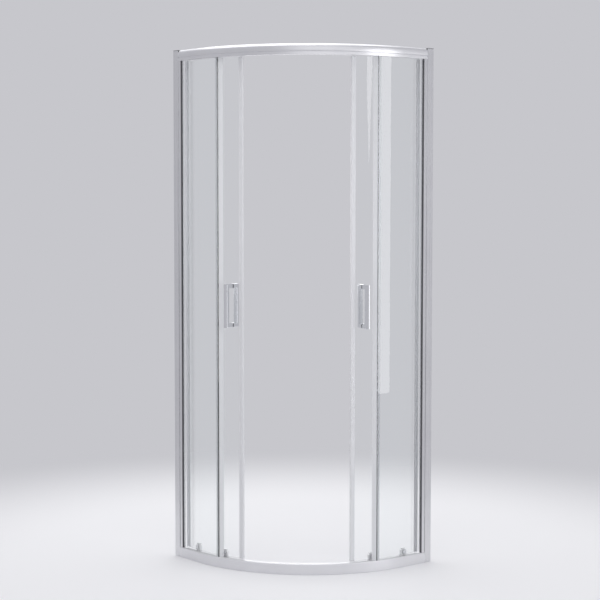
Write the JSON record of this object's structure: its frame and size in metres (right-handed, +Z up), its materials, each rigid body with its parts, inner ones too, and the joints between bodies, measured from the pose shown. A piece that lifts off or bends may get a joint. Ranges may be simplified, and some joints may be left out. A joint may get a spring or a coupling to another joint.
{
  "type": "quadrant shower enclosure",
  "caption": "Curved corner shower enclosure with clear glass, bent metal rails and curved sliding doors on rollers, shown open.",
  "frame": {"origin": "floor level at the middle of the square that the enclosure fills", "axes": "+Z up; the left wall is the plane x = -0.35 and the right wall the plane y = +0.35; the curved front faces +X and -Y"},
  "size_m": [0.7, 0.7, 1.95],
  "materials": {
    "bright_aluminium": "polished and anodised",
    "wall_aluminium": "satin anodised",
    "clear_glass": "clear toughened",
    "cover_strip": "smooth",
    "grey_plastic": "moulded",
    "dark_gasket": "soft",
    "clear_seal": "translucent",
    "magnet_strip": "smooth",
    "steel_screw": "plain",
    "block_rubber": "soft",
    "black_washer": "moulded",
    "handle_chrome": "polished",
    "roller_metal": "polished",
    "roller_plastic": "moulded",
    "white_nylon": "moulded"
  },
  "bodies": {
    "frame": {"top_rail": "bright_aluminium", "bottom_rail": "bright_aluminium", "top_slot_cover": "cover_strip", "bottom_slot_cover": "cover_strip", "wall_profile_left": "wall_aluminium", "wall_profile_right": "wall_aluminium", "wall_profile_caps": "grey_plastic", "side_jamb_left": "wall_aluminium", "side_jamb_right": "wall_aluminium", "glazing_gasket_left": "dark_gasket", "glazing_gasket_right": "dark_gasket", "fixed_glass_left": "clear_glass", "fixed_glass_right": "clear_glass", "fixed_edge_seal_left": "clear_seal", "fixed_edge_seal_right": "clear_seal", "top_end_block_left": "grey_plastic", "top_end_block_right": "grey_plastic", "bottom_end_block_left": "grey_plastic", "bottom_end_block_right": "grey_plastic", "corner_screws": "steel_screw", "jamb_screws": "steel_screw", "setting_blocks": "block_rubber", "open_stops": "grey_plastic", "stop_buffers": "block_rubber"},
    "door_left": {"door_glass_left": "clear_glass", "magnet_seal_left": "magnet_strip", "trailing_seal_left": "clear_seal", "handle_outer_left": "handle_chrome", "handle_inner_left": "handle_chrome", "handle_fixings_left": "steel_screw", "handle_washers_left": "black_washer", "top_roller_front_left": "roller_metal", "top_roller_rear_left": "roller_metal", "bottom_roller_front_left": "roller_plastic", "bottom_roller_rear_left": "roller_plastic", "roller_caps_left": "roller_metal"},
    "door_right": {"door_glass_right": "clear_glass", "magnet_seal_right": "magnet_strip", "trailing_seal_right": "clear_seal", "handle_outer_right": "handle_chrome", "handle_inner_right": "handle_chrome", "handle_fixings_right": "steel_screw", "handle_washers_right": "black_washer", "top_roller_front_right": "roller_metal", "top_roller_rear_right": "roller_metal", "bottom_roller_front_right": "roller_plastic", "bottom_roller_rear_right": "roller_plastic", "roller_caps_right": "roller_metal"},
    "release_slide_front_left": {"release_slide_front_left": "roller_plastic"},
    "top_wheel_front_left": {"top_wheel_front_left": "white_nylon"},
    "bottom_wheel_front_left": {"bottom_wheel_front_left": "white_nylon"},
    "release_slide_rear_left": {"release_slide_rear_left": "roller_plastic"},
    "top_wheel_rear_left": {"top_wheel_rear_left": "white_nylon"},
    "bottom_wheel_rear_left": {"bottom_wheel_rear_left": "white_nylon"},
    "release_slide_front_right": {"release_slide_front_right": "roller_plastic"},
    "top_wheel_front_right": {"top_wheel_front_right": "white_nylon"},
    "bottom_wheel_front_right": {"bottom_wheel_front_right": "white_nylon"},
    "release_slide_rear_right": {"release_slide_rear_right": "roller_plastic"},
    "top_wheel_rear_right": {"top_wheel_rear_right": "white_nylon"},
    "bottom_wheel_rear_right": {"bottom_wheel_rear_right": "white_nylon"}
  },
  "joints": [
    {"name": "door_left_slide_round", "type": "hinge", "parent": "frame", "child": "door_left", "pos_m": [-0.20398, 0.20896, 0.975], "axis": [0, 0, 1], "range_deg": [0, 21.9]},
    {"name": "release_front_left_press", "type": "slide", "parent": "door_left", "child": "release_slide_front_left", "axis": [0, 0, -1], "range_m": [0, 0.004], "stiffness_N_per_m": 500, "springref_m": -0.003},
    {"name": "top_wheel_front_left_turn", "type": "hinge", "parent": "door_left", "child": "top_wheel_front_left", "pos_m": [-0.08204, -0.31855, 1.9331], "axis": [0.2286, -0.9735, 0], "continuous": true},
    {"name": "bottom_wheel_front_left_turn", "type": "hinge", "parent": "release_slide_front_left", "child": "bottom_wheel_front_left", "pos_m": [-0.08204, -0.31855, 0.0239], "axis": [0.2286, -0.9735, 0], "continuous": true},
    {"name": "release_rear_left_press", "type": "slide", "parent": "door_left", "child": "release_slide_rear_left", "axis": [0, 0, -1], "range_m": [0, 0.004], "stiffness_N_per_m": 500, "springref_m": -0.003},
    {"name": "top_wheel_rear_left_turn", "type": "hinge", "parent": "door_left", "child": "top_wheel_rear_left", "pos_m": [-0.2337, -0.33179, 1.9331], "axis": [-0.0565, -0.9984, 0], "continuous": true},
    {"name": "bottom_wheel_rear_left_turn", "type": "hinge", "parent": "release_slide_rear_left", "child": "bottom_wheel_rear_left", "pos_m": [-0.2337, -0.33179, 0.0239], "axis": [-0.0565, -0.9984, 0], "continuous": true},
    {"name": "door_right_slide_round", "type": "hinge", "parent": "frame", "child": "door_right", "pos_m": [-0.20896, 0.20398, 0.975], "axis": [0, 0, -1], "range_deg": [0, 21.9]},
    {"name": "release_front_right_press", "type": "slide", "parent": "door_right", "child": "release_slide_front_right", "axis": [0, 0, -1], "range_m": [0, 0.004], "stiffness_N_per_m": 500, "springref_m": -0.003},
    {"name": "top_wheel_front_right_turn", "type": "hinge", "parent": "door_right", "child": "top_wheel_front_right", "pos_m": [0.31855, 0.08204, 1.9331], "axis": [0.9735, -0.2286, 0], "continuous": true},
    {"name": "bottom_wheel_front_right_turn", "type": "hinge", "parent": "release_slide_front_right", "child": "bottom_wheel_front_right", "pos_m": [0.31855, 0.08204, 0.0239], "axis": [0.9735, -0.2286, 0], "continuous": true},
    {"name": "release_rear_right_press", "type": "slide", "parent": "door_right", "child": "release_slide_rear_right", "axis": [0, 0, -1], "range_m": [0, 0.004], "stiffness_N_per_m": 500, "springref_m": -0.003},
    {"name": "top_wheel_rear_right_turn", "type": "hinge", "parent": "door_right", "child": "top_wheel_rear_right", "pos_m": [0.33179, 0.2337, 1.9331], "axis": [0.9984, 0.0565, 0], "continuous": true},
    {"name": "bottom_wheel_rear_right_turn", "type": "hinge", "parent": "release_slide_rear_right", "child": "bottom_wheel_rear_right", "pos_m": [0.33179, 0.2337, 0.0239], "axis": [0.9984, 0.0565, 0], "continuous": true}
  ],
  "couplings": [
    {"joint": "top_wheel_front_left_turn", "follows": "door_left_slide_round", "ratio": -53.362},
    {"joint": "bottom_wheel_front_left_turn", "follows": "door_left_slide_round", "ratio": 53.362},
    {"joint": "top_wheel_rear_left_turn", "follows": "door_left_slide_round", "ratio": -53.376},
    {"joint": "bottom_wheel_rear_left_turn", "follows": "door_left_slide_round", "ratio": 53.376},
    {"joint": "top_wheel_front_right_turn", "follows": "door_right_slide_round", "ratio": 53.362},
    {"joint": "bottom_wheel_front_right_turn", "follows": "door_right_slide_round", "ratio": -53.362},
    {"joint": "top_wheel_rear_right_turn", "follows": "door_right_slide_round", "ratio": 53.376},
    {"joint": "bottom_wheel_rear_right_turn", "follows": "door_right_slide_round", "ratio": -53.376}
  ]
}
